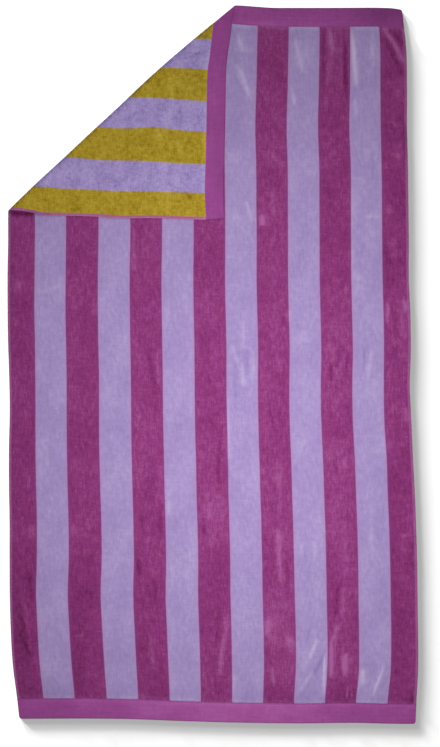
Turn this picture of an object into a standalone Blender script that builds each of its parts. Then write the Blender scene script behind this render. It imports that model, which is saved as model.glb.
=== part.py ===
"""Beach towel that lies flat with its top left corner turned over. Metres, +Z up, front of the cloth up.

The towel is one length of terry with flat-woven ends. It is drawn first as the flat rectangle that it was
cut to, with u across the cloth and v along it, both from the bottom left corner. Every point of that cut is
then laid where it lies: flat on the ground, round the fold, or on top in the turned-over corner.
"""

import math

import bmesh
import bpy
import numpy as np
from mathutils import Vector

MM = 0.001

# The flat cut: thirteen lengthwise stripes, the outer two narrower
STRIPE = 80 * MM
EDGE_STRIPE = 65 * MM
INNER_STRIPES = 11
WIDTH = INNER_STRIPES * STRIPE + 2 * EDGE_STRIPE
LENGTH = 1800 * MM

# Cloth thickness, and the hems: flat-woven band at each end, turned selvedge along each side
PILE_THICK = 3.0 * MM
BAND_BOTTOM = 51.5 * MM
BAND_TOP = 49 * MM
BAND_THICK = 1.8 * MM
SIDE_HEM = 8 * MM
SIDE_HEM_THICK = 2.3 * MM
STEP = 3 * MM
CORNER_RADIUS = 6 * MM

# The turned-over corner: where the fold leaves the left side and the top end, measured from their corner
FOLD_DOWN_SIDE = 542 * MM
FOLD_ALONG_END = 566 * MM
FOLD_RADIUS = 4.5 * MM
LAYER_GAP = 1.2 * MM
SETTLE = 72 * MM
EASE = 120 * MM

# Lines of the mesh: rows of cells along the cloth, lines beside the fold, and lines along each soft fold
CELL = 45 * MM
ROLL_STEPS = 4
TURNED_LINES = (13 * MM, 24 * MM, 38 * MM, 54 * MM, 72 * MM, 96 * MM)
OPEN_LINES = (13 * MM, 24 * MM)
SOFT_FOLD_LINES = (-1.0, -0.66, -0.33, 0.0, 0.33, 0.66, 1.0)
SAME_PLACE = 0.001 * MM
NUDGE = 0.4 * MM

# Lengthwise lines of the cloth as they lie, in mm: up the cut from the bottom, then the x of each line.
# The lines are the left edge, stripe edges, and the right edge
LINES_AT = (0, 65, 145, 225, 385, 545, 705, 865, 945, 1010)
LINES = (
    (0, -484.4, -420.7, -344.2, -264.7, -107.7, 46.5, 202.2, 357.2, 436.3, 506.4),
    (50, -489.9, -423.7, -346.2, -265.7, -108.2, 47.5, 202.2, 357.2, 436.3, 508.4),
    (130, -500.4, -432.8, -353.2, -271.2, -111.2, 47.7, 206.7, 364.7, 443.8, 512.9),
    (220, -505.9, -438.2, -359, -276.7, -114.7, 46.2, 207.2, 365.2, 445.3, 513.4),
    (310, -508.4, -442.2, -363, -280.7, -118.2, 43.7, 204.7, 363.7, 444.3, 511.9),
    (400, -508.9, -440.2, -360.7, -278.2, -117.2, 43.2, 202.7, 363.2, 442.8, 510.9),
    (490, -508.9, -440.2, -361.2, -279.2, -118.7, 41.2, 200.7, 360.7, 440.3, 508.4),
    (580, -510.4, -442.2, -363.5, -281.7, -121.2, 38.7, 197.7, 357.7, 436.8, 504.9),
    (670, -510.4, -443.7, -365.5, -284.2, -122.7, 36.7, 195.2, 354.2, 433.8, 500.4),
    (760, -508.4, -443.7, -365.7, -284.7, -124.7, 34.7, 191.7, 349.7, 428.3, 496.4),
    (850, -509.9, -444.2, -366, -284.7, -125.7, 33.7, 190.7, 348.2, 426.8, 492.4),
    (940, -512.9, -445.2, -367.5, -286.7, -126.7, 33.7, 191.7, 349.7, 427.3, 494.9),
    (1030, -513.9, -446.7, -368.7, -287.7, -128.2, 31.7, 189.7, 347.7, 426.3, 493.9),
    (1120, -513.9, -445.7, -368.2, -287.7, -128.7, 30.2, 187.7, 345.7, 423.8, 489.9),
    (1210, -513.4, -445.2, -367.2, -286.2, -127.2, 30.7, 187.7, 345.2, 422.8, 489.9),
    (1300, -512.9, -445.7, -367.7, -286.7, -127.7, 30.2, 187.2, 344.7, 422.3, 488.9),
    (1400, -511.4, -444.7, -367.2, -286.7, -128.7, 29.2, 186.7, 344.7, 421.3, 487.9),
    (1500, -508.9, -442.7, -366, -286.2, -129.7, 27.2, 184.2, 340.7, 419.3, 485.4),
    (1600, -504.4, -439.2, -362.5, -282.7, -126.2, 30.2, 186.7, 342.7, 418.3, 485.4),
    (1700, -497.9, -432.7, -356.2, -276.7, -122.2, 32.2, 188.7, 343.2, 417.8, 483.4),
    (1800, -486.9, -423.7, -348.7, -270.7, -116.7, 35.2, 190.2, 342.2, 412.8, 472.9),
)

# End edges as they lie, in mm: across the cut from the left, y of the bottom edge, y of the top edge
END_EDGES = (
    (0, -884.8, 935),
    (260, -885.1, 915),
    (310, -886.3, 911.5),
    (411, -890.3, 905.5),
    (513, -893.3, 901.3),
    (584, -894.8, 898.8),
    (632, -895.6, 895.9),
    (669, -896, 893.9),
    (716, -896.3, 893.3),
    (870, -895.1, 893.4),
    (950, -897, 893.4),
    (985, -897.4, 892.1),
    (1010, -897.4, 888.4),
)

# End edge of the turned-over corner, in mm: along the end from the cloth's corner, then x
FLAP_END = (
    (0, 29.2),
    (65, 26.5),
    (145, 28.3),
    (225, 30.2),
    (305, 31.3),
    (385, 33.2),
    (465, 42.5),
    (566, 56),
)

# Where the fold lies, in mm: along the fold from the left side, then x and y
FOLD_LINE = (
    (0, -510.7, 385.1),
    (98, -442.2, 451.4),
    (196, -374.1, 514.2),
    (294, -303.6, 580.4),
    (392, -233.4, 645.3),
    (490, -163.1, 712),
    (588, -90.8, 775.9),
    (686, -17.9, 836.9),
    (784, 55.9, 897.9),
)

# Lengthwise lines of the turned-over corner, in mm: down the cut from the end, x of the side edge, then the
# y of each line. The lines are the side edge, stripe edges, and a line through the far end of the fold
FLAP_LINES_AT = (0, 65, 145, 225, 305, 385, 465, 566)
FLAP_LINES = (
    (0, 29.2, 366, 432, 508, 585.5, 662.5, 742, 819.5, 897),
    (41, -11, 363.3, 429.3, 502.8, 582, 658.5, 739, 816.9, 894.3),
    (101, -71, 364.2, 431.5, 503.2, 585.7, 662.8, 747.5, 820.9, 896.5),
    (181, -151, 367, 433.6, 508.2, 594.2, 672.3, 753, 825.5, 900),
    (261, -231, 366.5, 434.5, 510.5, 595, 674.5, 753, 825, 899.5),
    (341, -311, 371.5, 438.2, 513, 598, 675.5, 755, 830, 904.5),
    (421, -391, 374.3, 439.6, 513.2, 600.8, 678.3, 757.8, 832.8, 907.3),
    (461, -431, 379, 444.2, 519.5, 605.5, 683, 762.5, 837.5, 912),
    (487, -457, 384.6, 452.6, 528.1, 611.1, 688.6, 768.1, 843.1, 917.6),
    (514, -484, 388, 456, 531.5, 614.5, 692, 771.5, 846.5, 921),
    (542, -512.5, 388, 456, 531.5, 614.5, 692, 771.5, 846.5, 921),
)

# Soft folds, in mm: x and y where each begins, x and y where it ends, half its width, its height
SOFT_FOLDS = (
    (52, 838, 96, 655, 20, 3.5),
    (140, 845, 131, 700, 22, 3.0),
    (222, 845, 232, 675, 20, 3.0),
    (296, 850, 292, 660, 26, 6.0),
    (351, 848, 366, 650, 20, 4.5),
    (424, 850, 460, 794, 15, 1.2),
    (120, 440, 134, 318, 22, 3.5),
    (288, 90, 312, -50, 26, 4.0),
    (64, 100, 82, -80, 18, 3.5),
    (398, 75, 386, -50, 18, 3.0),
    (173, -235, 164, -610, 26, 6.0),
    (-152, 60, -134, -70, 22, 3.0),
    (-152, -190, -135, -450, 24, 3.5),
    (16, -90, 27, -280, 20, 3.5),
    (37, -560, 10, -820, 20, 4.0),
    (268, -600, 216, -821, 20, 3.5),
    (317, -625, 294, -800, 17, 3.5),
    (326, -700, 336, -815, 15, 3.0),
    (436, -735, 402, -824, 14, 3.0),
    (-157, -655, -122, -820, 20, 3.5),
    (138, -675, 168, -821, 20, 3.5),
    (-480, -545, -449, -815, 26, 3.5),
    (-318, -690, -332, -822, 18, 3.0),
)

CLOTH_COLOUR = (0.36, 0.06, 0.25, 1.0)
CLOTH_ROUGHNESS = 0.95


def soft_step(t):
    """0 to 1, level at both ends."""
    t = np.clip(t, 0.0, 1.0)
    return t * t * (3.0 - 2.0 * t)


def along(table, column, at):
    """A smooth curve through one column of a table, read at the first column's values."""
    rows = np.array(table, dtype=float) * MM
    x = rows[:, 0]
    y = rows[:, column]
    slope = np.gradient(y, x)
    i = np.clip(np.searchsorted(x, at, side="right") - 1, 0, len(x) - 2)
    span = x[i + 1] - x[i]
    t = np.clip((at - x[i]) / span, -0.5, 1.5)
    near = (1 + 2 * t) * (1 - t) ** 2 * y[i] + t * (1 - t) ** 2 * span * slope[i]
    far = t * t * (3 - 2 * t) * y[i + 1] + t * t * (t - 1) * span * slope[i + 1]
    return near + far


def across_lines(table, first, places, across, at):
    """A value followed along each line of a table, then read straight across between the nearest two."""
    places = np.array(places) * MM
    lines = np.stack([along(table, first + i, at) for i in range(len(places))], axis=-1)
    i = np.clip(np.searchsorted(places, across, side="right") - 1, 0, len(places) - 2)
    share = (across - places[i]) / (places[i + 1] - places[i])
    near, far = (np.take_along_axis(lines, k[..., None], axis=-1)[..., 0] for k in (i, i + 1))
    return near * (1 - share) + far * share


def rounded(u, v):
    """The cut's points with its four square corners turned to quarter circles."""
    cu = np.where(u < WIDTH / 2, CORNER_RADIUS, WIDTH - CORNER_RADIUS)
    cv = np.where(v < LENGTH / 2, CORNER_RADIUS, LENGTH - CORNER_RADIUS)
    p = (u - cu) / CORNER_RADIUS * np.where(u < WIDTH / 2, -1, 1)
    q = (v - cv) / CORNER_RADIUS * np.where(v < LENGTH / 2, -1, 1)
    inside = (p > 0) & (q > 0)
    p = np.where(inside, p, 0)
    q = np.where(inside, q, 0)
    du = (u - cu) * np.sqrt(1 - np.minimum(q, 1) ** 2 / 2)
    dv = (v - cv) * np.sqrt(1 - np.minimum(p, 1) ** 2 / 2)
    return np.where(inside, cu + du, u), np.where(inside, cv + dv, v)


def open_place(u, v):
    """Plan position of the cloth as it would lie with no corner turned over."""
    up = v / LENGTH
    x = across_lines(LINES, 1, LINES_AT, u, v)
    y = along(END_EDGES, 1, u) * (1 - up) + along(END_EDGES, 2, u) * up
    return np.stack([x, y], axis=-1)


def turned_place(u, v):
    """Plan position of the cloth in the turned-over corner."""
    down = LENGTH - v
    x = along(FLAP_END, 1, u) + along(FLAP_LINES, 1, down) - FLAP_END[0][1] * MM
    y = across_lines(FLAP_LINES, 2, FLAP_LINES_AT, u, down)
    return np.stack([x, y], axis=-1)


# The fold's line on the flat cut, from the left side to the top end
FOLD_FROM = np.array([0.0, LENGTH - FOLD_DOWN_SIDE])
FOLD_TO = np.array([FOLD_ALONG_END, LENGTH])
FOLD_LENGTH = float(np.linalg.norm(FOLD_TO - FOLD_FROM))
FOLD_WAY = (FOLD_TO - FOLD_FROM) / FOLD_LENGTH
PAST_FOLD = np.array([-FOLD_WAY[1], FOLD_WAY[0]])


def past_fold(u, v):
    """Distance from the fold's line, above 0 in the turned-over corner, and the share of the way along it."""
    offset = np.stack([u, v], axis=-1) - FOLD_FROM
    return offset @ PAST_FOLD, np.clip(offset @ FOLD_WAY / FOLD_LENGTH, 0, 1)


def lift(x, y):
    """Height that the soft folds raise the cloth at a plan position."""
    height = np.zeros_like(x)
    for x0, y0, x1, y1, half_width, rise in np.array(SOFT_FOLDS, dtype=float) * MM:
        length = math.hypot(x1 - x0, y1 - y0)
        way = ((x1 - x0) / length, (y1 - y0) / length)
        share = ((x - x0) * way[0] + (y - y0) * way[1]) / length
        aside = ((y - y0) * way[0] - (x - x0) * way[1]) / half_width
        ends = np.clip(1 - (2 * share - 1) ** 4, 0, None)
        height += rise * ends * np.clip(1 - aside**2, 0, None) ** 2
    return height


def thickness(u, v):
    """Thickness of the cloth: pile, flat-woven end band or side hem, with a short step between them."""
    from_side = np.minimum(u, WIDTH - u)
    from_band = np.minimum(v - BAND_BOTTOM, LENGTH - BAND_TOP - v)
    pile = soft_step((from_side - SIDE_HEM) / STEP + 0.5)
    body = SIDE_HEM_THICK + (PILE_THICK - SIDE_HEM_THICK) * pile
    past_band = soft_step(from_band / STEP + 0.5)
    return BAND_THICK + (body - BAND_THICK) * past_band


def middle(u, v):
    """Where the middle of the cloth lies, for arrays of points on the cut."""
    u, v = rounded(u, v)
    past, share = past_fold(u, v)
    turned = past > 0
    reach = np.abs(past)
    fold_u, fold_v = (FOLD_FROM + share[..., None] * (FOLD_TO - FOLD_FROM)).T
    fold_open = open_place(fold_u, fold_v)
    fold_turned = turned_place(fold_u, fold_v)
    fold = np.stack([along(FOLD_LINE, column, share * FOLD_LENGTH) for column in (1, 2)], axis=-1)
    ease = (1 - soft_step(reach / EASE))[..., None]
    place_open = open_place(u, v) + (fold - fold_open) * ease
    place_turned = turned_place(u, v) + (fold - fold_turned) * ease
    place = np.where(turned[..., None], place_turned, place_open)

    # The roll takes up cloth: a half turn of FOLD_RADIUS, then a long fall of the turned layer to rest
    quarter = FOLD_RADIUS * math.pi / 2
    angle = np.minimum(reach, quarter) / FOLD_RADIUS
    settled = soft_step((reach - quarter) / (SETTLE - quarter))
    taken = (quarter - FOLD_RADIUS) * (1 - settled)
    offset = np.where(reach < quarter, FOLD_RADIUS * (1 - np.cos(angle)), reach - taken)
    ends = open_place(*np.stack([FOLD_FROM, FOLD_TO], axis=1))
    way = (ends[1] - ends[0]) / np.linalg.norm(ends[1] - ends[0])
    inward = np.array([way[1], -way[0]])
    place = place + inward * (offset - reach)[..., None]

    rest = PILE_THICK / 2
    half_turn = FOLD_RADIUS * np.sin(angle) * np.where(turned, 1, -1)
    fall = (2 * FOLD_RADIUS - PILE_THICK - LAYER_GAP) * settled * turned
    height = rest + FOLD_RADIUS + half_turn - fall
    x = place[..., 0]
    y = place[..., 1]
    return np.stack([x, y, height + lift(x, y)], axis=-1)


def both_faces(u, v):
    """Points of the front face and of the back face of the cloth."""
    across = middle(u + NUDGE, v) - middle(u - NUDGE, v)
    up = middle(u, v + NUDGE) - middle(u, v - NUDGE)
    front = np.cross(across, up)
    front /= np.linalg.norm(front, axis=-1, keepdims=True)
    thick = thickness(u, v)[..., None]
    centre = middle(u, v) - (PILE_THICK - thick) / 2 * np.array([0, 0, 1])
    return centre + front * thick / 2, centre - front * thick / 2


def split(mesh, parts, point, way):
    """Adds the line through a point of the cut, square to way, to the given parts of the mesh."""
    bmesh.ops.bisect_plane(
        mesh, geom=parts, dist=SAME_PLACE, plane_co=Vector((*point, 0)), plane_no=Vector((*way, 0))
    )


def flat_cut():
    """The flat cut as a mesh whose lines follow the stripes, the hems, the fold and the soft folds."""
    stripe_edges = EDGE_STRIPE + STRIPE * np.arange(INNER_STRIPES + 1)
    stripe_middles = stripe_edges[:-1] + STRIPE / 2
    left_lines = np.array([0.0, SIDE_HEM - STEP / 2, SIDE_HEM + STEP / 2])
    columns = sorted([*left_lines, *stripe_edges, *stripe_middles, *(WIDTH - left_lines)])
    bottom_rows = [0.0, BAND_BOTTOM / 2, BAND_BOTTOM - STEP / 2]
    top_rows = [LENGTH - BAND_TOP + STEP / 2, LENGTH - BAND_TOP / 2, LENGTH]
    first_row = BAND_BOTTOM + STEP / 2
    last_row = LENGTH - BAND_TOP - STEP / 2
    cells = round((last_row - first_row) / CELL)
    rows = [*bottom_rows, *np.linspace(first_row, last_row, cells + 1), *top_rows]

    cut = bmesh.new()
    grid = [[cut.verts.new((u, v, 0)) for u in columns] for v in rows]
    for low, high in zip(grid, grid[1:]):
        for i in range(len(columns) - 1):
            cut.faces.new((low[i], low[i + 1], high[i + 1], high[i]))

    quarter = FOLD_RADIUS * math.pi / 2
    roll_lines = [quarter * i / ROLL_STEPS for i in range(1, ROLL_STEPS + 1)]
    turned = (0.0, *roll_lines, *TURNED_LINES)
    lying = [-distance for distance in (*roll_lines, *OPEN_LINES)]
    for distance in (*turned, *lying):
        everything = cut.verts[:] + cut.edges[:] + cut.faces[:]
        split(cut, everything, FOLD_FROM + PAST_FOLD * distance, PAST_FOLD)
    for fold in np.array(SOFT_FOLDS, dtype=float) * MM:
        cut_along(cut, fold)
    return cut


def on_the_cut(x, y):
    """The point of the cut that lies at a plan position of the open cloth, found in a few short steps."""
    u = x + WIDTH / 2
    v = y + LENGTH / 2
    for _ in range(6):
        miss = np.array([x, y]) - open_place(u, v)
        u = u + miss[0]
        v = v + miss[1]
    return np.array([u, v])


def cut_along(cut, fold):
    """Adds lines along one soft fold to the faces that it raises."""
    x0, y0, x1, y1, half_width, _ = fold
    start = on_the_cut(x0, y0)
    end = on_the_cut(x1, y1)
    length = np.linalg.norm(end - start)
    way = (end - start) / length
    aside = np.array([-way[1], way[0]])
    for share in SOFT_FOLD_LINES:
        raised = []
        for face in cut.faces:
            offset = np.array(face.calc_center_median()[:2]) - start
            if 0 < offset @ way < length and abs(offset @ aside) < half_width + CELL / 2:
                raised.append(face)
        edges = list(dict.fromkeys(edge for face in raised for edge in face.edges))
        corners = list(dict.fromkeys(corner for face in raised for corner in face.verts))
        split(cut, raised + edges + corners, start + aside * share * half_width, aside)


def closed_cloth(cut):
    """A closed mesh of the lying towel: front, back and the rim between, its origin under its box."""
    bmesh.ops.triangulate(cut, faces=cut.faces[:], quad_method="BEAUTY", ngon_method="BEAUTY")
    cut.verts.index_update()
    flat = np.array([v.co[:2] for v in cut.verts])
    front, back = both_faces(flat[:, 0], flat[:, 1])
    points = np.concatenate([front, back])
    low = points.min(axis=0)
    high = points.max(axis=0)
    origin = np.array([(low[0] + high[0]) / 2, (low[1] + high[1]) / 2, low[2]])
    points = points - origin

    count = len(flat)
    faces = []
    for face in cut.faces:
        a, b, c = (v.index for v in face.verts)
        faces.append((a, b, c))
        faces.append((c + count, b + count, a + count))
    for edge in cut.edges:
        if edge.is_boundary:
            loop = edge.link_loops[0]
            a = loop.vert.index
            b = loop.link_loop_next.vert.index
            faces.append((b, a, a + count, b + count))
    mesh = bpy.data.meshes.new("towel")
    mesh.from_pydata([tuple(p) for p in points], [], faces)
    return mesh


def velour(name):
    """Cotton terry in the towel's main colour."""
    material = bpy.data.materials.new(name)
    material.use_nodes = True
    shader = material.node_tree.nodes["Principled BSDF"]
    shader.inputs["Base Color"].default_value = CLOTH_COLOUR
    shader.inputs["Roughness"].default_value = CLOTH_ROUGHNESS
    shader.inputs["Metallic"].default_value = 0.0
    return material


def main():
    for thing in list(bpy.data.objects):
        bpy.data.objects.remove(thing)
    cut = flat_cut()
    mesh = closed_cloth(cut)
    cut.free()
    mesh.materials.append(velour("terry"))
    towel = bpy.data.objects.new("towel", mesh)
    bpy.context.scene.collection.objects.link(towel)
    mesh.shade_smooth()
    mesh.set_sharp_from_angle(angle=math.radians(40))


main()
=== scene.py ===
import math
from functools import partial

import bmesh
import bpy
import numpy as np
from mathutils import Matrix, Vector


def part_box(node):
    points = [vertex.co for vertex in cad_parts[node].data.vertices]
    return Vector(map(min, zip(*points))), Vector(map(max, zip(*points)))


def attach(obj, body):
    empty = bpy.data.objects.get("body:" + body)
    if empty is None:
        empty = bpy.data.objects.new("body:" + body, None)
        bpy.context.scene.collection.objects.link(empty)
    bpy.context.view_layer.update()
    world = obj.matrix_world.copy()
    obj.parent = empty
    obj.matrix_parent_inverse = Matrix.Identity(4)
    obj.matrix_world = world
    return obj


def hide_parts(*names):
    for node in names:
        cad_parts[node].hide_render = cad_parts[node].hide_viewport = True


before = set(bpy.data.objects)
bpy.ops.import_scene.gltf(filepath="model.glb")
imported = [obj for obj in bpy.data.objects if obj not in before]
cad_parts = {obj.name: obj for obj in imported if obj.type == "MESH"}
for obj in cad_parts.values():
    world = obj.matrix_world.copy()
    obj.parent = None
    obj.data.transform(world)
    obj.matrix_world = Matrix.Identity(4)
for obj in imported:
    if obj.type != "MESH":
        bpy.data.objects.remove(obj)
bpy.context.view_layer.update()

# ---------------------------------------------------------------------------------------------
# The cloth. One length of cotton terry about 3 mm thick, woven in lengthwise stripes with pile on
# both sides and a flat-woven band at each end. The bands and the long edges are turned under to
# the back and stitched down. It lies on the floor with its top left corner turned over.
# ---------------------------------------------------------------------------------------------
MM = 0.001

# The flat cut: thirteen stripes; u runs across the cloth and v along it, from the bottom left corner
STRIPE = 80 * MM
EDGE_STRIPE = 65 * MM
INNER_STRIPES = 11
WIDTH = INNER_STRIPES * STRIPE + 2 * EDGE_STRIPE
LENGTH = 1800 * MM

# Thicknesses, the bands' and hems' widths, the step up to the pile, and the cut's rounded corners
PILE_THICK = 3.0 * MM
BAND_BOTTOM = 51.5 * MM
BAND_TOP = 49 * MM
BAND_THICK = 1.8 * MM
SIDE_HEM = 8 * MM
SIDE_HEM_THICK = 2.3 * MM
STEP = 3 * MM
CORNER_RADIUS = 6 * MM

# Where the fold leaves the left side and the top end, measured from their corner. Then its roll, the
# gap below the turned layer, and how far from the fold that layer comes to rest and lines run true
FOLD_DOWN_SIDE = 542 * MM
FOLD_ALONG_END = 566 * MM
FOLD_RADIUS = 4.5 * MM
LAYER_GAP = 1.2 * MM
SETTLE = 72 * MM
EASE = 120 * MM

# Rows of hem stitching, in from the side edges and from each band's inner edge. The thread draws the
# cloth's two faces together by this much each, over this distance to either side of the row; the
# underside stays level, so the upper face shows the whole groove
SIDE_STITCH = 4.9 * MM
BAND_STITCH = 4 * MM
STITCH_SINK = 0.35 * MM
STITCH_GROOVE = 1.4 * MM

# Mesh lines: the cells' size, the lines in from the side edges and end edges, those at the step up to
# the pile as shares of it, the steps of each half of the roll, and the lines past it on either side.
# A line closer than the last value to a point goes through it
CELL_ACROSS = 8 * MM
CELL_ALONG = 9 * MM
SIDE_LINES = (0.0, 2.6 * MM)
BAND_LINES = (0.0, 3 * MM, 9 * MM, 16 * MM, 23 * MM, 30 * MM, 37 * MM)
STEP_LINES = (-1 / 6, 1 / 6, 1 / 2)
ROLL_STEPS = 6
TURNED_LINES = (13 * MM, 18 * MM, 24 * MM)
OPEN_LINES = (13 * MM, 18 * MM)
SAME_PLACE = 0.001 * MM

# Cells are halved at painted marks in the pile of at most this half width, in mm, and at least this
# change, and this far past their sides
FINE_HALF_WIDTH = 12
FINE_CHANGE = 1
FINE_MARGIN = 3 * MM

# The cloth's slope is read over twice this distance
NUDGE = 0.4 * MM

# Lengthwise lines of the cloth as they lie, in mm: up the cut from the bottom, then the x of each
# line. The lines are the left edge, stripe edges, and the right edge
LINES_AT = (0, 65, 145, 225, 385, 545, 705, 865, 945, 1010)
LINES = (
    (0, -484.4, -420.7, -344.2, -264.7, -107.7, 46.5, 202.2, 357.2, 436.3, 506.4),
    (50, -489.9, -423.7, -346.2, -265.7, -108.2, 47.5, 202.2, 357.2, 436.3, 508.4),
    (130, -500.4, -432.8, -353.2, -271.2, -111.2, 47.7, 206.7, 364.7, 443.8, 512.9),
    (220, -505.9, -438.2, -359, -276.7, -114.7, 46.2, 207.2, 365.2, 445.3, 513.4),
    (310, -508.4, -442.2, -363, -280.7, -118.2, 43.7, 204.7, 363.7, 444.3, 511.9),
    (400, -508.9, -440.2, -360.7, -278.2, -117.2, 43.2, 202.7, 363.2, 442.8, 510.9),
    (490, -508.9, -440.2, -361.2, -279.2, -118.7, 41.2, 200.7, 360.7, 440.3, 508.4),
    (580, -510.4, -442.2, -363.5, -281.7, -121.2, 38.7, 197.7, 357.7, 436.8, 504.9),
    (670, -510.4, -443.7, -365.5, -284.2, -122.7, 36.7, 195.2, 354.2, 433.8, 500.4),
    (760, -508.4, -443.7, -365.7, -284.7, -124.7, 34.7, 191.7, 349.7, 428.3, 496.4),
    (850, -509.9, -444.2, -366, -284.7, -125.7, 33.7, 190.7, 348.2, 426.8, 492.4),
    (940, -512.9, -445.2, -367.5, -286.7, -126.7, 33.7, 191.7, 349.7, 427.3, 494.9),
    (1030, -513.9, -446.7, -368.7, -287.7, -128.2, 31.7, 189.7, 347.7, 426.3, 493.9),
    (1120, -513.9, -445.7, -368.2, -287.7, -128.7, 30.2, 187.7, 345.7, 423.8, 489.9),
    (1210, -513.4, -445.2, -367.2, -286.2, -127.2, 30.7, 187.7, 345.2, 422.8, 489.9),
    (1300, -512.9, -445.7, -367.7, -286.7, -127.7, 30.2, 187.2, 344.7, 422.3, 488.9),
    (1400, -511.4, -444.7, -367.2, -286.7, -128.7, 29.2, 186.7, 344.7, 421.3, 487.9),
    (1500, -508.9, -442.7, -366, -286.2, -129.7, 27.2, 184.2, 340.7, 419.3, 485.4),
    (1600, -504.4, -439.2, -362.5, -282.7, -126.2, 30.2, 186.7, 342.7, 418.3, 485.4),
    (1700, -497.9, -432.7, -356.2, -276.7, -122.2, 32.2, 188.7, 343.2, 417.8, 483.4),
    (1800, -486.9, -423.7, -348.7, -270.7, -116.7, 35.2, 190.2, 342.2, 412.8, 472.9),
)

# End edges as they lie, in mm: across the cut from the left, y of the bottom edge, y of the top edge
END_EDGES = (
    (0, -884.8, 935), (260, -885.1, 915), (310, -886.3, 911.5), (411, -890.3, 905.5),
    (513, -893.3, 901.3), (584, -894.8, 898.8), (632, -895.6, 895.9), (669, -896, 893.9),
    (716, -896.3, 893.3), (870, -895.1, 893.4), (950, -897, 893.4), (985, -897.4, 892.1),
    (1010, -897.4, 888.4),
)

# End edge of the turned-over corner, in mm: along the end from the cloth's corner, then x
FLAP_END = (
    (0, 29.2), (65, 26.5), (145, 28.3), (225, 30.2), (305, 31.3), (385, 33.2), (465, 42.5), (566, 56),
)

# Where the fold lies, in mm: along the fold from the left side, then x and y
FOLD_LINE = (
    (0, -510.7, 385.1), (98, -442.2, 451.4), (196, -374.1, 514.2), (294, -303.6, 580.4),
    (392, -233.4, 645.3), (490, -163.1, 712), (588, -90.8, 775.9), (686, -17.9, 836.9),
    (784, 55.9, 897.9),
)

# Lengthwise lines of the turned-over corner, in mm: down the cut from the end, x of the side edge, then
# the y of each line. The lines are the side edge, stripe edges, and one through the fold's far end
FLAP_LINES_AT = (0, 65, 145, 225, 305, 385, 465, 566)
FLAP_LINES = (
    (0, 29.2, 366, 432, 508, 585.5, 662.5, 742, 819.5, 897),
    (41, -11, 363.3, 429.3, 502.8, 582, 658.5, 739, 816.9, 894.3),
    (101, -71, 364.2, 431.5, 503.2, 585.7, 662.8, 747.5, 820.9, 896.5),
    (181, -151, 367, 433.6, 508.2, 594.2, 672.3, 753, 825.5, 900),
    (261, -231, 366.5, 434.5, 510.5, 595, 674.5, 753, 825, 899.5),
    (341, -311, 371.5, 438.2, 513, 598, 675.5, 755, 830, 904.5),
    (421, -391, 374.3, 439.6, 513.2, 600.8, 678.3, 757.8, 832.8, 907.3),
    (461, -431, 379, 444.2, 519.5, 605.5, 683, 762.5, 837.5, 912),
    (487, -457, 384.6, 452.6, 528.1, 611.1, 688.6, 768.1, 843.1, 917.6),
    (514, -484, 388, 456, 531.5, 614.5, 692, 771.5, 846.5, 921),
    (542, -512.5, 388, 456, 531.5, 614.5, 692, 771.5, 846.5, 921),
)

# Soft folds, in mm: x and y where each begins, x and y where it ends, half its width, its height
SOFT_FOLDS = (
    (52, 838, 96, 655, 20, 3.5), (140, 845, 131, 700, 22, 3.0), (222, 845, 232, 675, 20, 3.0),
    (296, 850, 292, 660, 26, 6.0), (351, 848, 366, 650, 20, 4.5), (424, 850, 460, 794, 15, 1.2),
    (120, 440, 134, 318, 22, 3.5), (288, 90, 312, -50, 26, 4.0), (64, 100, 82, -80, 18, 3.5),
    (398, 75, 386, -50, 18, 3.0), (173, -235, 164, -610, 26, 6.0), (-152, 60, -134, -70, 22, 3.0),
    (-152, -190, -135, -450, 24, 3.5), (16, -90, 27, -280, 20, 3.5), (37, -560, 10, -820, 20, 4.0),
    (268, -600, 216, -821, 20, 3.5), (317, -625, 294, -800, 17, 3.5), (326, -700, 336, -815, 15, 3.0),
    (436, -735, 402, -824, 14, 3.0), (-157, -655, -122, -820, 20, 3.5), (138, -675, 168, -821, 20, 3.5),
    (-480, -545, -449, -815, 26, 3.5), (-318, -690, -332, -822, 18, 3.0),
)
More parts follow.
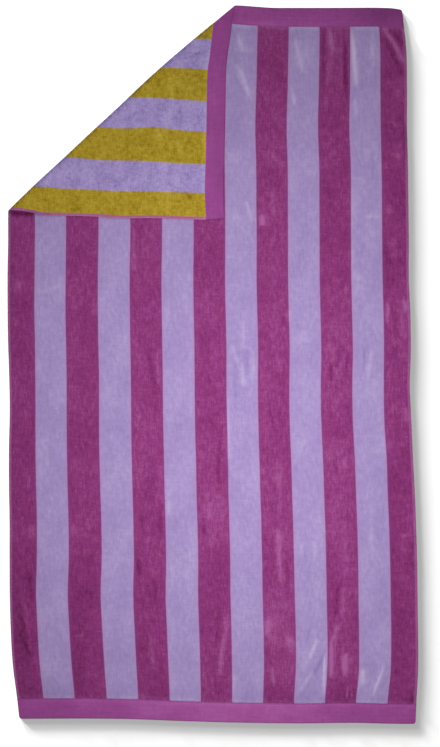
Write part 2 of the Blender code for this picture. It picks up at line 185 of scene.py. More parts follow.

# Painted light and shade in the pile, along creases and where the nap lies another way, in mm: x and y
# where each begins, x and y where it ends, half its width, and how much lighter or darker it looks.
# Stripes are counted from the left; the bands show none of these marks
PAINTED_MARKS = (
    # pile beside the top band
    (59, 856, 219, 854, 12, 0.9),
    # fourth pale stripe
    (62, 829, 74, 781, 8, 2.4), (59, 756, 94, 666, 9, 2.8), (50, 736, 82, 664, 8, -1.2),
    (34, 536, 69, 506, 25, 1.1), (81, 411, 99, 356, 7, 2.4), (51, 374, 69, 371, 19, 1.1),
    (45, 54, 65, 4, 8, 1.8), (69, 11, 76, -59, 8, 2.6), (76, 116, 76, 36, 7, 1.6),
    (101, 41, 99, -39, 8, 1.5), (86, 41, 84, -29, 6, -1.5), (54, 16, 56, -119, 7, -1.6),
    # fifth dark stripe
    (149, 844, 156, 656, 44, -0.9), (181, 756, 188, 711, 9, 1.4), (124, 531, 181, 504, 16, 1.4),
    (144, 516, 176, 496, 12, 0.3), (124, 481, 154, 474, 16, -0.4), (122, 376, 124, 346, 10, 6.5),
    (149, 441, 149, 369, 8, 2.1), (156, 351, 151, 291, 6, 1.6), (176, 331, 179, 306, 12, 1),
    (154, 341, 151, 266, 7, -1.2), (164, 341, 161, 301, 5, -2.6), (158, 36, 173, -29, 7, 1.1),
    (121, -4, 124, -44, 12, 0.5), (138, -84, 155, -179, 4, -3.3), (159, -249, 161, -289, 12, 1.5),
    (177, 126, 177, 91, 11, -2), (189, 141, 189, 106, 6, 3.5), (165, -269, 167, -389, 8, 1.9),
    (164, -404, 164, -499, 9, 3.6), (166, -484, 169, -544, 7, 2.8), (149, -429, 151, -504, 8, -0.7),
    (184, -464, 186, -594, 9, -1.7), (136, -629, 136, -679, 12, 3.1), (134, -684, 194, -689, 16, 0.3),
    (179, -699, 209, -691, 19, 3.8), (147, -749, 152, -809, 7, 3.7),
    # fifth pale stripe
    (204, 829, 224, 726, 8, 2.4), (236, 831, 234, 761, 7, 0.8), (194, 701, 204, 646, 7, 2.8),
    (191, 511, 266, 506, 31, 0.6), (229, 221, 229, 181, 22, 0.9), (224, 86, 234, 56, 16, 1.1),
    (221, -439, 221, -479, 9, 1.2), (253, -439, 253, -489, 9, 1.6), (264, -599, 274, -654, 7, 0.3),
    (262, -681, 239, -736, 6, 4), (241, -729, 222, -769, 5, 1.5), (251, -765, 209, -822, 6, 2.2),
    (247, -644, 235, -689, 6, -1.7), (286, -706, 249, -781, 7, -3.2),
    # sixth dark stripe
    (289, 846, 299, 776, 9, 4.2), (297, 786, 285, 686, 11, 2), (317, 771, 320, 686, 8, 0.8),
    (281, 676, 281, 651, 12, 1.9), (276, 841, 276, 701, 8, -2.8), (330, 821, 332, 666, 9, -4.7),
    (306, 636, 309, 601, 19, -1.1), (301, 536, 301, 496, 22, 0.4), (291, 451, 294, 416, 14, -2),
    (289, 201, 291, 161, 22, 0.4), (334, 201, 334, 171, 12, 1.3), (294, 61, 296, 6, 16, 1.6),
    (282, 6, 282, -34, 11, 1.2), (306, -39, 326, 21, 10, 1.5), (343, 61, 348, -24, 8, 1),
    (295, 6, 295, -44, 6, -3.8), (317, 51, 312, -14, 6, -2.3), (341, 36, 328, -24, 6, -1.8),
    (324, -34, 324, -64, 12, -0.8), (292, -69, 294, -154, 6, -1.5), (309, -144, 311, -184, 17, -1.5),
    (337, -94, 337, -134, 8, -1.2), (329, -229, 329, -259, 11, 2.1), (306, -229, 306, -279, 8, -3.1),
    (289, -204, 289, -239, 16, 0.9), (309, -324, 311, -364, 19, 0.9), (331, -414, 331, -534, 11, 1.2),
    (314, -549, 306, -629, 9, -3.4), (328, -549, 323, -639, 8, 2.1), (314, -644, 296, -699, 7, 3.5),
    (296, -689, 294, -784, 8, 6.4), (331, -719, 329, -779, 9, 6.5), (313, -714, 318, -779, 8, -1.9),
    # sixth pale stripe
    (345, 842, 359, 688, 9, 4.5), (397, 836, 400, 766, 8, 1.7), (354, 666, 361, 621, 8, 2.1),
    (349, 536, 421, 534, 41, 0.7), (396, 561, 401, 461, 6, -1.7), (379, 371, 424, 371, 5, 2.1),
    (400, 51, 385, -34, 8, 1.8), (378, 46, 378, -24, 6, -2.7), (361, 236, 361, 206, 12, 1.3),
    (397, -339, 397, -479, 9, 1.4), (429, -749, 396, -834, 5, 3.9), (373, -759, 373, -799, 9, 3.1),
    # seventh dark stripe
    (424, 845, 457, 798, 8, 3.9), (452, 805, 479, 755, 9, 3.9), (441, 844, 476, 799, 11, -3.2),
    (430, 819, 460, 752, 11, -3.7), (459, 766, 472, 721, 10, -2.2), (439, 746, 444, 716, 12, -1.1),
    (429, 709, 481, 709, 9, 1.2), (456, 686, 469, 681, 12, 3.1), (436, 664, 464, 664, 12, -0.3),
    (425, 615, 468, 595, 5, 1.3), (449, 596, 454, 551, 22, -0.9), (481, 611, 481, 516, 7, -3.8),
    (449, 524, 474, 524, 12, 2.4), (429, 511, 436, 486, 11, 1.5), (439, 401, 444, 376, 11, 2.5),
    (466, 381, 474, 351, 12, -0.4), (451, 281, 474, 281, 9, 1.2), (441, 311, 459, 301, 16, 3.1),
    (444, 274, 461, 274, 11, 2.5), (449, 226, 456, 181, 25, -0.9), (446, 161, 461, 56, 11, -2),
    (480, 166, 482, 131, 9, 3.7), (472, 141, 472, 66, 8, 1.4), (436, 161, 436, 101, 8, 3.5),
    (454, 46, 454, 11, 12, -2.1), (434, -24, 449, -26, 11, 1.1), (480, -109, 485, -144, 10, 3.5),
    (447, -94, 452, -119, 11, 1.4), (459, -114, 461, -199, 12, -1.5), (441, -189, 441, -214, 9, 1),
    (444, -224, 451, -259, 16, 0.5), (487, -214, 490, -264, 7, -1.1), (456, -264, 464, -299, 25, -0.3),
    (464, -427, 494, -427, 7, 2.2), (472, -439, 477, -469, 11, 1.2), (464, -639, 469, -814, 28, -0.3),
    # first dark stripe
    (-486, 211, -481, 181, 9, 2.1), (-469, 181, -464, 136, 19, -0.9), (-494, 121, -489, 96, 12, 1.2),
    (-463, -274, -461, -314, 9, 1.9), (-454, -394, -454, -439, 12, 2.2),
    (-461, -514, -454, -594, 11, -2.3), (-479, -559, -469, -619, 9, 1.1),
    (-471, -599, -451, -719, 9, 1.3), (-488, -589, -470, -674, 9, -1.6),
    (-476, -654, -458, -744, 10, -2.1),
    # second dark stripe
    (-349, 326, -344, 296, 12, 0.3), (-336, 296, -334, 266, 12, -0.9), (-346, 204, -326, 201, 12, -0.3),
    (-361, 209, -336, 216, 5, 1.9), (-296, 161, -296, 121, 9, 1.9), (-326, 76, -326, 46, 12, -1.3),
    (-356, -2, -296, -2, 4, 0.9), (-344, -59, -336, -94, 16, 0.4), (-296, -79, -301, -174, 6, 0.9),
    (-351, -399, -351, -434, 11, 1.1), (-308, -384, -308, -419, 11, 0.7),
    (-346, -474, -306, -474, 19, 0.5), (-346, -619, -321, -599, 5, 0.3),
    (-351, -677, -321, -677, 5, 2.6), (-326, -694, -316, -739, 16, -0.3),
    # third dark stripe
    (-199, 351, -199, 266, 4, 2.1), (-184, 356, -184, 286, 4, -1.8), (-166, 356, -164, 276, 4, 1.4),
    (-151, 356, -151, 296, 4, 1.1), (-200, 276, -198, 236, 11, 2), (-161, 206, -159, 161, 19, -0.3),
    (-186, 141, -166, 141, 12, 0.4), (-141, 41, -134, -49, 8, 1.6), (-164, 36, -146, -49, 8, -2.4),
    (-145, -34, -148, -89, 8, -1.6), (-143, -89, -143, -119, 9, -1), (-166, -164, -164, -209, 12, -0.8),
    (-188, -119, -188, -159, 11, 1), (-149, -219, -149, -314, 8, -0.5),
    (-131, -244, -131, -299, 8, 1.6), (-134, -339, -132, -439, 9, -2.4),
    (-178, -364, -178, -414, 9, -1.8), (-163, -399, -161, -449, 9, 1.3),
    (-186, -484, -186, -524, 9, -3.8), (-146, -534, -144, -594, 8, -2.6),
    (-174, -639, -139, -639, 6, -1.5), (-158, -664, -148, -764, 8, 2.6),
    # fourth dark stripe
    (-21, 251, -19, 201, 16, -0.8), (-36, 191, -24, 189, 16, -1.5), (-16, 86, -16, 36, 12, -0.8),
    (-34, -19, -29, -64, 19, -0.5), (11, -39, 19, -54, 12, 1.9), (20, -144, 12, -324, 7, -2.5),
    (37, -229, 37, -299, 6, -3), (-10, -339, -10, -389, 9, 1.8), (-23, -379, -23, -429, 8, -3.6),
    (-4, -419, 1, -459, 12, 1.5), (36, -619, 28, -694, 9, 3), (26, -679, 16, -779, 8, 3.7),
    (15, -589, 10, -714, 9, -1.2),
    # first and third pale stripes
    (-421, 166, -421, 96, 12, -0.7), (-436, 181, -371, 201, 4, 1.6), (-111, -339, -111, -379, 12, 1.9),
    # painted light and shade of the pile gathered beside the bottom band
    (-489, -799, -436, -824, 19, -0.6), (-344, -799, -271, -814, 25, -0.3),
    (-336, -814, -274, -821, 16, 1), (-186, -739, -156, -839, 16, -0.3),
    (-131, -734, -111, -839, 14, -2.3), (-166, -814, -111, -819, 22, -0.6),
    (-31, -794, 39, -814, 25, -0.3), (-20, -759, -15, -834, 9, 1.2), (124, -804, 199, -814, 25, -0.3),
    (179, -779, 194, -834, 16, 0.4), (289, -814, 364, -819, 22, -1.9), (304, -789, 344, -799, 19, -0.9),
    (336, -799, 334, -834, 3, 5.8), (346, -799, 346, -834, 3, 4.5), (324, -809, 324, -839, 3, 1.3),
    (449, -814, 509, -824, 25, -0.3), (496, -824, 501, -849, 9, -3), (-321, -789, -306, -829, 4, 1),
    (-294, -794, -284, -831, 4, 0.3), (-1, -779, 1, -834, 4, 2),
    # painted highlights along the edges of pale stripes
    (280, -712, 277, -828, 4, 4.5), (37, -70, 40, -262, 4, 2.5), (51, -765, 51, -830, 4, 2.5),
    (368, -770, 361, -832, 4, 2.2), (345, 600, 350, 190, 4, 1.4),
    # painted shadow below the corner's hem
    (-514, 380, -440, 377, 11, -6.5), (-452, 379, -400, 375, 7, -3),
    # turned-over corner
    (-105, 736, -100, 646, 11, 2.5), (-71, 736, -31, 731, 4, 2.3), (-66, 725, -31, 723, 4, -2.1),
    (-51, 776, -26, 776, 7, -4.7), (-249, 596, -162, 648, 9, -1.6), (-191, 641, -166, 616, 25, 0.9),
    (-131, 616, -101, 616, 19, 2.8), (-141, 591, -129, 561, 8, 3.4), (-231, 566, -141, 566, 28, -0.3),
    (-88, 561, -80, 516, 9, 3.1), (-131, 501, -111, 496, 12, 2.1), (-106, 481, -86, 451, 12, 3.1),
    (-426, 446, -401, 466, 11, 1.7), (-366, 436, -344, 434, 12, 1.1), (-113, 451, -111, 376, 9, 3.1),
    (-66, 436, -54, 406, 11, -5.1), (-281, 399, -266, 396, 12, 1.4),
)

# Broad painted light and shade, all of one half width, that only the dark stripes show: where each
# begins and ends, in mm, and how much lighter or darker it looks
BROAD_PAINTED_HALF_WIDTH = 90
BROAD_PAINTED_LIGHT = (
    (-480, 320, -480, -60, -0.6), (-484, -20, -484, -440, -1.3),
    (-480, -420, -470, -820, -2.2), (-325, 260, -325, -430, -0.6),
    (-325, -430, -322, -810, -1.9), (-167, -450, -167, -810, -1), (0, -140, 0, -460, 0.8),
    (-8, -500, -8, -790, -0.8), (150, 880, 150, 750, 1.3), (150, 120, 150, -20, 0.7),
    (150, -550, 158, -720, 1.5), (305, 720, 305, 330, -0.5), (305, 350, 305, 180, -1.3),
    (305, 130, 305, 0, 1.1), (305, -200, 305, -470, 0.8), (466, 880, 462, 130, -1.1),
    (462, 360, 462, 180, -0.8), (460, -160, 460, -860, -1.5),
)

# Painted light and shade along the bands, how much lighter or darker they look in the marks' units:
# across the cut from the left in mm, then the bottom band and the top band
BAND_TONE = (
    (0, -1.1, -0.6), (110, -0.4, -0.6), (230, 0.1, -0.5), (330, 1, -0.5), (430, 1.6, -0.5),
    (520, 1.9, -0.4), (600, 1.7, 1.2), (660, 1.6, 0.9), (740, 1.2, 0), (800, -0.1, -0.1),
    (850, -0.2, -0.8), (900, -0.3, -2.3), (1010, -0.7, -3),
)

# Unevenness of cloth that was only smoothed by hand: its height, the waves that make it up and their
# seed, their least and greatest length across and along in mm, and how far from the edges and the fold
# it is full
UNEVEN = 0.5 * MM
UNEVEN_WAVES = 36
UNEVEN_SEED = 11
UNEVEN_ACROSS = (60, 160)
UNEVEN_ALONG = (110, 260)
UNEVEN_FROM_EDGE = 70 * MM
UNEVEN_FROM_FOLD = 40 * MM

# Small gathers that each band draws up: their height, where they begin and fade, the pitches of the
# ripples that they are made of, and how much of the ripples stands up
GATHER = 0.8 * MM
GATHER_START = 6 * MM
GATHER_REACH = 26 * MM
GATHER_PITCHES = (11.5 * MM, 16.3 * MM, 23.7 * MM)
GATHER_LEVEL = 0.4

# The cloth lies pressed flat below the turned-over corner and this far past its edges, which are
# followed in this many points
CORNER_MARGIN = 22 * MM
CORNER_POINTS = 40


def soft_step(t):
    """0 to 1, level at both ends."""
    t = np.clip(t, 0.0, 1.0)
    return t * t * (3.0 - 2.0 * t)


def along(table, column, at):
    """A smooth curve through one column of a table, read at the first column's values."""
    rows = np.array(table, dtype=float) * MM
    x = rows[:, 0]
    y = rows[:, column]
    slope = np.gradient(y, x)
    i = np.clip(np.searchsorted(x, at, side="right") - 1, 0, len(x) - 2)
    span = x[i + 1] - x[i]
    t = np.clip((at - x[i]) / span, -0.5, 1.5)
    near = (1 + 2 * t) * (1 - t) ** 2 * y[i] + t * (1 - t) ** 2 * span * slope[i]
    far = t * t * (3 - 2 * t) * y[i + 1] + t * t * (t - 1) * span * slope[i + 1]
    return near + far


def across_lines(table, first, places, across, at):
    """A value followed along each line of a table, then read across between the nearest two."""
    places = np.array(places) * MM
    lines = np.stack([along(table, first + i, at) for i in range(len(places))], axis=-1)
    i = np.clip(np.searchsorted(places, across, side="right") - 1, 0, len(places) - 2)
    share = (across - places[i]) / (places[i + 1] - places[i])
    near, far = (np.take_along_axis(lines, k[..., None], axis=-1)[..., 0] for k in (i, i + 1))
    return near * (1 - share) + far * share


def rounded(u, v):
    """The cut's points with its four square corners turned to quarter circles."""
    cu = np.clip(u, CORNER_RADIUS, WIDTH - CORNER_RADIUS)
    cv = np.clip(v, CORNER_RADIUS, LENGTH - CORNER_RADIUS)
    p, q = (np.minimum(np.abs(past) / CORNER_RADIUS, 1) for past in (u - cu, v - cv))
    return cu + (u - cu) * np.sqrt(1 - q**2 / 2), cv + (v - cv) * np.sqrt(1 - p**2 / 2)


def open_place(u, v):
    """Plan position of the cloth as it would lie with no corner turned over."""
    up = v / LENGTH
    x = across_lines(LINES, 1, LINES_AT, u, v)
    y = along(END_EDGES, 1, u) * (1 - up) + along(END_EDGES, 2, u) * up
    return np.stack([x, y], axis=-1)


def turned_place(u, v):
    """Plan position of the cloth in the turned-over corner."""
    down = LENGTH - v
    x = along(FLAP_END, 1, u) + along(FLAP_LINES, 1, down) - FLAP_END[0][1] * MM
    y = across_lines(FLAP_LINES, 2, FLAP_LINES_AT, u, down)
    return np.stack([x, y], axis=-1)


# The fold's line on the flat cut, from the left side to the top end
FOLD_FROM = np.array([0.0, LENGTH - FOLD_DOWN_SIDE])
FOLD_TO = np.array([FOLD_ALONG_END, LENGTH])
FOLD_LENGTH = float(np.linalg.norm(FOLD_TO - FOLD_FROM))
FOLD_WAY = (FOLD_TO - FOLD_FROM) / FOLD_LENGTH
PAST_FOLD = np.array([-FOLD_WAY[1], FOLD_WAY[0]])


def past_fold(u, v):
    """Distance from the fold's line, above 0 in the turned-over corner, and the share along it."""
    offset = np.stack([u, v], axis=-1) - FOLD_FROM
    return offset @ PAST_FOLD, np.clip(offset @ FOLD_WAY / FOLD_LENGTH, 0, 1)


def fold_if_open():
    """Plan position of the fold line's start if the cloth lay open, and the way along the line."""
    start, stop = open_place(*np.stack([FOLD_FROM, FOLD_TO], axis=1))
    return start, (stop - start) / np.linalg.norm(stop - start)


def stroke(x, y, x0, y0, x1, y1, half_width):
    """A soft long mark at a plan position: 1 along its middle, 0 at its sides and ends."""
    length = math.hypot(x1 - x0, y1 - y0)
    way = ((x1 - x0) / length, (y1 - y0) / length)
    share = ((x - x0) * way[0] + (y - y0) * way[1]) / length
    aside = ((y - y0) * way[0] - (x - x0) * way[1]) / half_width
    ends = np.clip(1 - (2 * share - 1) ** 4, 0, None)
    return ends * np.clip(1 - aside**2, 0, None) ** 2


def lift(x, y):
    """Height that the soft folds raise the cloth at a plan position."""
    folds = np.array(SOFT_FOLDS, dtype=float) * MM
    return sum(rise * stroke(x, y, *place) for *place, rise in folds)


def uneven(u, v):
    """Small rises of the loose cloth, never below the floor: seeded waves, longer along it."""
    waves = np.random.default_rng(UNEVEN_SEED)
    height = np.zeros_like(u)
    for _ in range(UNEVEN_WAVES):
        wave_u = 2 * math.pi / (waves.uniform(*UNEVEN_ACROSS) * MM) * waves.choice([-1, 1])
        wave_v = 2 * math.pi / (waves.uniform(*UNEVEN_ALONG) * MM)
        height += np.sin(wave_u * u + wave_v * v + waves.uniform(0, 2 * math.pi))
    level = height / math.sqrt(UNEVEN_WAVES / 2)
    from_edge = np.minimum(np.minimum(u, WIDTH - u), np.minimum(v, LENGTH - v))
    return UNEVEN * np.clip(level + 1, 0, None) * soft_step(from_edge / UNEVEN_FROM_EDGE)


def past_band(v):
    """Distance from the nearer end band's inner edge, above 0 in the pile."""
    return np.minimum(v - BAND_BOTTOM, LENGTH - BAND_TOP - v)


def gathers(u, v):
    """Small ripples in the pile where the tighter band draws it up, gone a little way from it."""
    from_band = past_band(v)
    ripple = sum(np.sin(2 * math.pi * u / pitch + i) for i, pitch in enumerate(GATHER_PITCHES))
    begun = soft_step(from_band / GATHER_START + 0.5)
    fade = np.exp(-np.clip(from_band, 0, None) / GATHER_REACH) * begun
    return GATHER * fade * np.clip(ripple / 2 + GATHER_LEVEL, 0, None)


def thickness(u, v):
    """Thickness of the cloth: pile, band or side hem, drawn in a little along the stitching."""
    from_side = np.minimum(u, WIDTH - u)
    from_band = past_band(v)
    pile = soft_step((from_side - SIDE_HEM) / STEP + 0.5)
    body = SIDE_HEM_THICK + (PILE_THICK - SIDE_HEM_THICK) * pile
    cloth = BAND_THICK + (body - BAND_THICK) * soft_step(from_band / STEP + 0.5)
    side_row = soft_step(1 - np.abs(from_side - SIDE_STITCH) / STITCH_GROOVE)
    band_row = soft_step(1 - np.abs(from_band + BAND_STITCH) / STITCH_GROOVE)
    return cloth - 2 * STITCH_SINK * np.maximum(side_row, band_row)


def middle(u, v):
    """Where the middle of the cloth lies, for arrays of points on the cut."""
    loose = uneven(u, v) + gathers(u, v)
    u, v = rounded(u, v)
    past, share = past_fold(u, v)
    turned = past > 0
    reach = np.abs(past)
    fold_u, fold_v = (FOLD_FROM + share[..., None] * (FOLD_TO - FOLD_FROM)).T
    fold_open = open_place(fold_u, fold_v)
    fold_turned = turned_place(fold_u, fold_v)
    fold = np.stack([along(FOLD_LINE, column, share * FOLD_LENGTH) for column in (1, 2)], axis=-1)
    ease = (1 - soft_step(reach / EASE))[..., None]
    place_open = open_place(u, v) + (fold - fold_open) * ease
    place_turned = turned_place(u, v) + (fold - fold_turned) * ease
    place = np.where(turned[..., None], place_turned, place_open)

    # The roll takes up cloth: a half turn of FOLD_RADIUS, then a long fall of the turned layer to rest
    quarter = FOLD_RADIUS * math.pi / 2
    angle = np.minimum(reach, quarter) / FOLD_RADIUS
    settled = soft_step((reach - quarter) / (SETTLE - quarter))
    taken = (quarter - FOLD_RADIUS) * (1 - settled)
    offset = np.where(reach < quarter, FOLD_RADIUS * (1 - np.cos(angle)), reach - taken)
    _, way = fold_if_open()
    inward = np.array([way[1], -way[0]])
    place = place + inward * (offset - reach)[..., None]

    rest = PILE_THICK / 2
    half_turn = FOLD_RADIUS * np.sin(angle) * np.where(turned, 1, -1)
    fall = (2 * FOLD_RADIUS - PILE_THICK - LAYER_GAP) * settled * turned
    height = rest + FOLD_RADIUS + half_turn - fall
    x, y = place.T
    free = np.where(turned | under_corner(x, y), 0, 1)
    clear = soft_step((reach - quarter) / UNEVEN_FROM_FOLD) * free
    return np.stack([x, y, height + lift(x, y) + loose * clear], axis=-1)


def under_corner(x, y):
    """True at plan positions that the turned-over corner covers, with a margin round it."""
    start, way = fold_if_open()
    right_of_fold = (x - start[0]) * way[1] - (y - start[1]) * way[0] > -CORNER_MARGIN
    end = np.linspace(0, FOLD_ALONG_END, CORNER_POINTS)
    side = LENGTH - np.linspace(FOLD_DOWN_SIDE, 0, CORNER_POINTS)
    end_edge = turned_place(end, np.full(CORNER_POINTS, LENGTH))
    side_edge = turned_place(np.zeros(CORNER_POINTS), side)
    left_of_end = x < np.interp(y, end_edge[:, 1], end_edge[:, 0]) + CORNER_MARGIN
    above_side = y > np.interp(x, side_edge[:, 0], side_edge[:, 1]) - CORNER_MARGIN
    return right_of_fold & left_of_end & above_side


def faces_of(u, v):
    """Middle of the cloth, the way its front faces, and its thickness, at points on the cut.

    Where the cloth is thin its middle lies lower, so that its underside stays level.
    """
    across = middle(u + NUDGE, v) - middle(u - NUDGE, v)
    up = middle(u, v + NUDGE) - middle(u, v - NUDGE)
    front = np.cross(across, up)
    front /= np.linalg.norm(front, axis=-1, keepdims=True)
    thick = thickness(u, v)[..., None]
    return middle(u, v) - (PILE_THICK - thick) / 2 * np.array([0, 0, 1]), front, thick


def stitch_lines(row):
    """Mesh lines that give one row of stitching its groove."""
    return [row + STITCH_GROOVE * share for share in (-1, -0.5, 0, 0.5, 1)]


def mesh_lines(near, far, length, cell):
    """Places of mesh lines over one length of the cut: those near each end, then even cells."""
    near, far = np.sort(near), length - np.sort(far)[::-1]
    between = np.linspace(near[-1], far[0], round((far[0] - near[-1]) / cell) + 1)[1:-1]
    return [*near, *between, *far]


def parts_of(faces, kind):
    """The edges or the vertices of some faces, each once and in a fixed order."""
    return list(dict.fromkeys(part for face in faces for part in getattr(face, kind)))


def flat_cut():
    """The flat cut as a mesh whose lines follow the hems, their stitching and the fold."""
    pile_edge = STEP * np.array(STEP_LINES)
    side_lines = [*SIDE_LINES, *stitch_lines(SIDE_STITCH), *(SIDE_HEM + pile_edge)]
    columns = mesh_lines(side_lines, side_lines, WIDTH, CELL_ACROSS)
    bottom_lines, top_lines = (
        [*BAND_LINES, *stitch_lines(band - BAND_STITCH), band - STEP / 2, *(band + pile_edge)]
        for band in (BAND_BOTTOM, BAND_TOP)
    )
    rows = mesh_lines(bottom_lines, top_lines, LENGTH, CELL_ALONG)
    cut = bmesh.new()
    grid = [[cut.verts.new((u, v, 0)) for u in columns] for v in rows]
    for low, high in zip(grid, grid[1:]):
        for i in range(len(columns) - 1):
            cut.faces.new((low[i], low[i + 1], high[i + 1], high[i]))

    quarter = FOLD_RADIUS * math.pi / 2
    roll_lines = [quarter * i / ROLL_STEPS for i in range(1, ROLL_STEPS + 1)]
    turned = (0.0, *roll_lines, *TURNED_LINES)
    lying = [-distance for distance in (*roll_lines, *OPEN_LINES)]
    for distance in (*turned, *lying):
        point = FOLD_FROM + PAST_FOLD * distance
        near = []
        for face in cut.faces:
            offset = np.array(face.calc_center_median()[:2]) - point
            if abs(offset @ PAST_FOLD) < 2 * CELL_ALONG:
                near.append(face)
        bmesh.ops.bisect_plane(
            cut,
            geom=near + parts_of(near, "edges") + parts_of(near, "verts"),
            dist=SAME_PLACE,
            plane_co=Vector((*point, 0)),
            plane_no=Vector((*PAST_FOLD, 0)),
        )

    middles = np.array([face.calc_center_median()[:2] for face in cut.faces])
    x, y, _ = middle(middles[:, 0], middles[:, 1]).T
    marked = np.zeros(len(middles), dtype=bool)
    for *place, change in PAINTED_MARKS:
        if place[4] <= FINE_HALF_WIDTH and abs(change) >= FINE_CHANGE:
            marked |= stroke(x, y, *(np.array(place) * MM + (0, 0, 0, 0, FINE_MARGIN))) > 0
    fine = [face for face, inside in zip(cut.faces, marked) if inside]
    bmesh.ops.subdivide_edges(cut, edges=parts_of(fine, "edges"), cuts=1, use_grid_fill=True)
    bmesh.ops.triangulate(cut, faces=cut.faces[:], quad_method="BEAUTY", ngon_method="BEAUTY")
    cut.verts.index_update()
    return cut


def edge_loop(cut):
    """The cut's outer edge, vertex by vertex, anticlockwise."""
    following = {}
    for edge in cut.edges:
        if edge.is_boundary:
            loop = edge.link_loops[0]
            following[loop.vert.index] = loop.link_loop_next.vert.index
    start = min(following)
    order = [start]
    while following[order[-1]] != start:
        order.append(following[order[-1]])
    return np.array(order)


# The rim of the cloth is rounded: angles from the front face round to the back face
RIM_ANGLES = np.radians((50, 0, -50))

cut = flat_cut()
flat = np.array([v.co[:2] for v in cut.verts])
centre, front, thick = faces_of(flat[:, 0], flat[:, 1])
edge = edge_loop(cut)
along_edge = np.roll(centre[edge], -1, axis=0) - np.roll(centre[edge], 1, axis=0)
outward = np.cross(along_edge, front[edge])
outward /= np.linalg.norm(outward, axis=-1, keepdims=True)
centre[edge] -= outward * thick[edge] / 2

rim = [
    centre[edge] + (outward * math.cos(a) + front[edge] * math.sin(a)) * thick[edge] / 2
    for a in RIM_ANGLES
]
points = np.concatenate([centre + front * thick / 2, centre - front * thick / 2, *rim])
places_on_cut = np.concatenate([flat, flat, *([flat[edge]] * len(rim))])

count = len(flat)
front_faces = len(cut.faces)
faces = []
for face in cut.faces:
    a, b, c = (v.index for v in face.verts)
    faces.append((a, b, c))
    faces.append((c + count, b + count, a + count))
rim_rings = (2 * count + i * len(edge) + np.arange(len(edge)) for i in range(len(rim)))
rings = [edge, *rim_rings, edge + count]
for upper, lower in zip(rings, rings[1:]):
    for a, b, c, d in zip(np.roll(upper, -1), upper, lower, np.roll(lower, -1)):
        faces.append((int(a), int(b), int(c), int(d)))
cut.free()

# The finished cloth stands where its solid stands
solid_low, solid_high = (np.array(corner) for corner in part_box("towel"))
low, high = points.min(axis=0), points.max(axis=0)
home = (solid_low + solid_high) / 2 - (low + high) / 2
home[2] = solid_low[2] - low[2]

mesh = bpy.data.meshes.new("towel_cloth")
mesh.from_pydata([tuple(p) for p in points + home], [], faces)
on_cut = mesh.uv_layers.new(name="cut")
corner_vertices = np.zeros(len(mesh.loops), dtype=int)
mesh.loops.foreach_get("vertex_index", corner_vertices)
on_cut.data.foreach_set("uv", places_on_cut[corner_vertices].ravel())
mesh.shade_smooth()
cloth = bpy.data.objects.new("towel_cloth", mesh)
bpy.context.scene.collection.objects.link(cloth)

# A painted highlight stronger than this also lightens what is round it, by a share of the change and
# over a wider stroke
AROUND_FROM = 1
AROUND_SHARE = 0.3
AROUND_WIDER = 2.6

# Painted shade along the fold, where the roll turns down away from the light
FOLD_SHADE = 7
FOLD_SHADE_REACH = 10 * MM

# A painted highlight on the last tufts beside a band, and painted shade on the pile near the bottom
# band
PILE_END_LIGHT = 2.6
PILE_END_REACH = 10 * MM
DRAWN_UP_SHADE = 1.3
DRAWN_UP_REACH = 60 * MM

# Painted light and shade: each band's change from its outer edge to its inner one, and the cloth's rim
BAND_TILT_LOWER = (-0.2, 0.5)
BAND_TILT_UPPER = (-1.1, 0.6)
BAND_RIM_SHADE = -4
SIDE_RIM_LIGHT = 1.5

# Painted light and shade at each point of the cloth, kept as attributes that the finishes read
x, y, _ = centre.T
u, v = flat.T
marks = np.zeros(count)
broad_painted_light = np.zeros(count)
for *place, change in PAINTED_MARKS:
    place = np.array(place) * MM
    marks += change * stroke(x, y, *place)
    if change > AROUND_FROM:
        wider = place * (1, 1, 1, 1, AROUND_WIDER)
        marks += AROUND_SHARE * change * stroke(x, y, *wider)
for *place, change in BROAD_PAINTED_LIGHT:
    broad_painted_light += change * stroke(x, y, *(np.array((*place, BROAD_PAINTED_HALF_WIDTH)) * MM))
past, _ = past_fold(u, v)
marks -= FOLD_SHADE * (1 - soft_step(np.abs(past) / FOLD_SHADE_REACH))
marks += PILE_END_LIGHT * (1 - soft_step(past_band(v) / PILE_END_REACH))
marks -= DRAWN_UP_SHADE * (1 - soft_step((v - BAND_BOTTOM) / DRAWN_UP_REACH))
lower_band = np.clip((BAND_BOTTOM - v) / STEP, 0, 1)
upper_band = np.clip((v - LENGTH + BAND_TOP) / STEP, 0, 1)
tone_lower, tone_upper = (along(BAND_TONE, column, u) / MM for column in (1, 2))
tone_lower += np.interp(v, (0, BAND_BOTTOM), BAND_TILT_LOWER)
tone_upper += np.interp(LENGTH - v, (0, BAND_TOP), BAND_TILT_UPPER)
marks = marks * (1 - lower_band - upper_band) + tone_lower * lower_band + tone_upper * upper_band
marks[edge] += np.where(past_band(v[edge]) < 0, BAND_RIM_SHADE, SIDE_RIM_LIGHT)
for name, values in (("painted_light_and_shade", marks), ("broad_painted_light", broad_painted_light)):
    shades = mesh.attributes.new(name, "FLOAT", "POINT")
    shades.data.foreach_set("value", np.concatenate([values, values, *([values[edge]] * len(rim))]))

# Each part of the cloth has its own finish: pile, loops, flat-woven band, and the side hem's two faces.
# Finishes change this far down the step up to the pile. Faces of the front and the back take turns; the
# rim's upper two rings go with the front
FINISH_EDGE = STEP / 3
FRONT, BACK, BANDS, HEM_FRONT, HEM_BACK = range(5)
face_points = np.array([np.mean(places_on_cut[list(f)], axis=0) for f in faces])
upper = np.arange(len(faces)) % 2 == 0
upper[2 * front_faces :] = np.arange(len(faces) - 2 * front_faces) < 2 * len(edge)
in_hem = np.minimum(face_points[:, 0], WIDTH - face_points[:, 0]) < SIDE_HEM - FINISH_EDGE
finish = np.where(upper, FRONT, BACK)
finish = np.where(in_hem, np.where(upper, HEM_FRONT, HEM_BACK), finish)
finish = np.where(past_band(face_points[:, 1]) < -FINISH_EDGE, BANDS, finish)
mesh.polygons.foreach_set("material_index", finish.astype(np.int32))


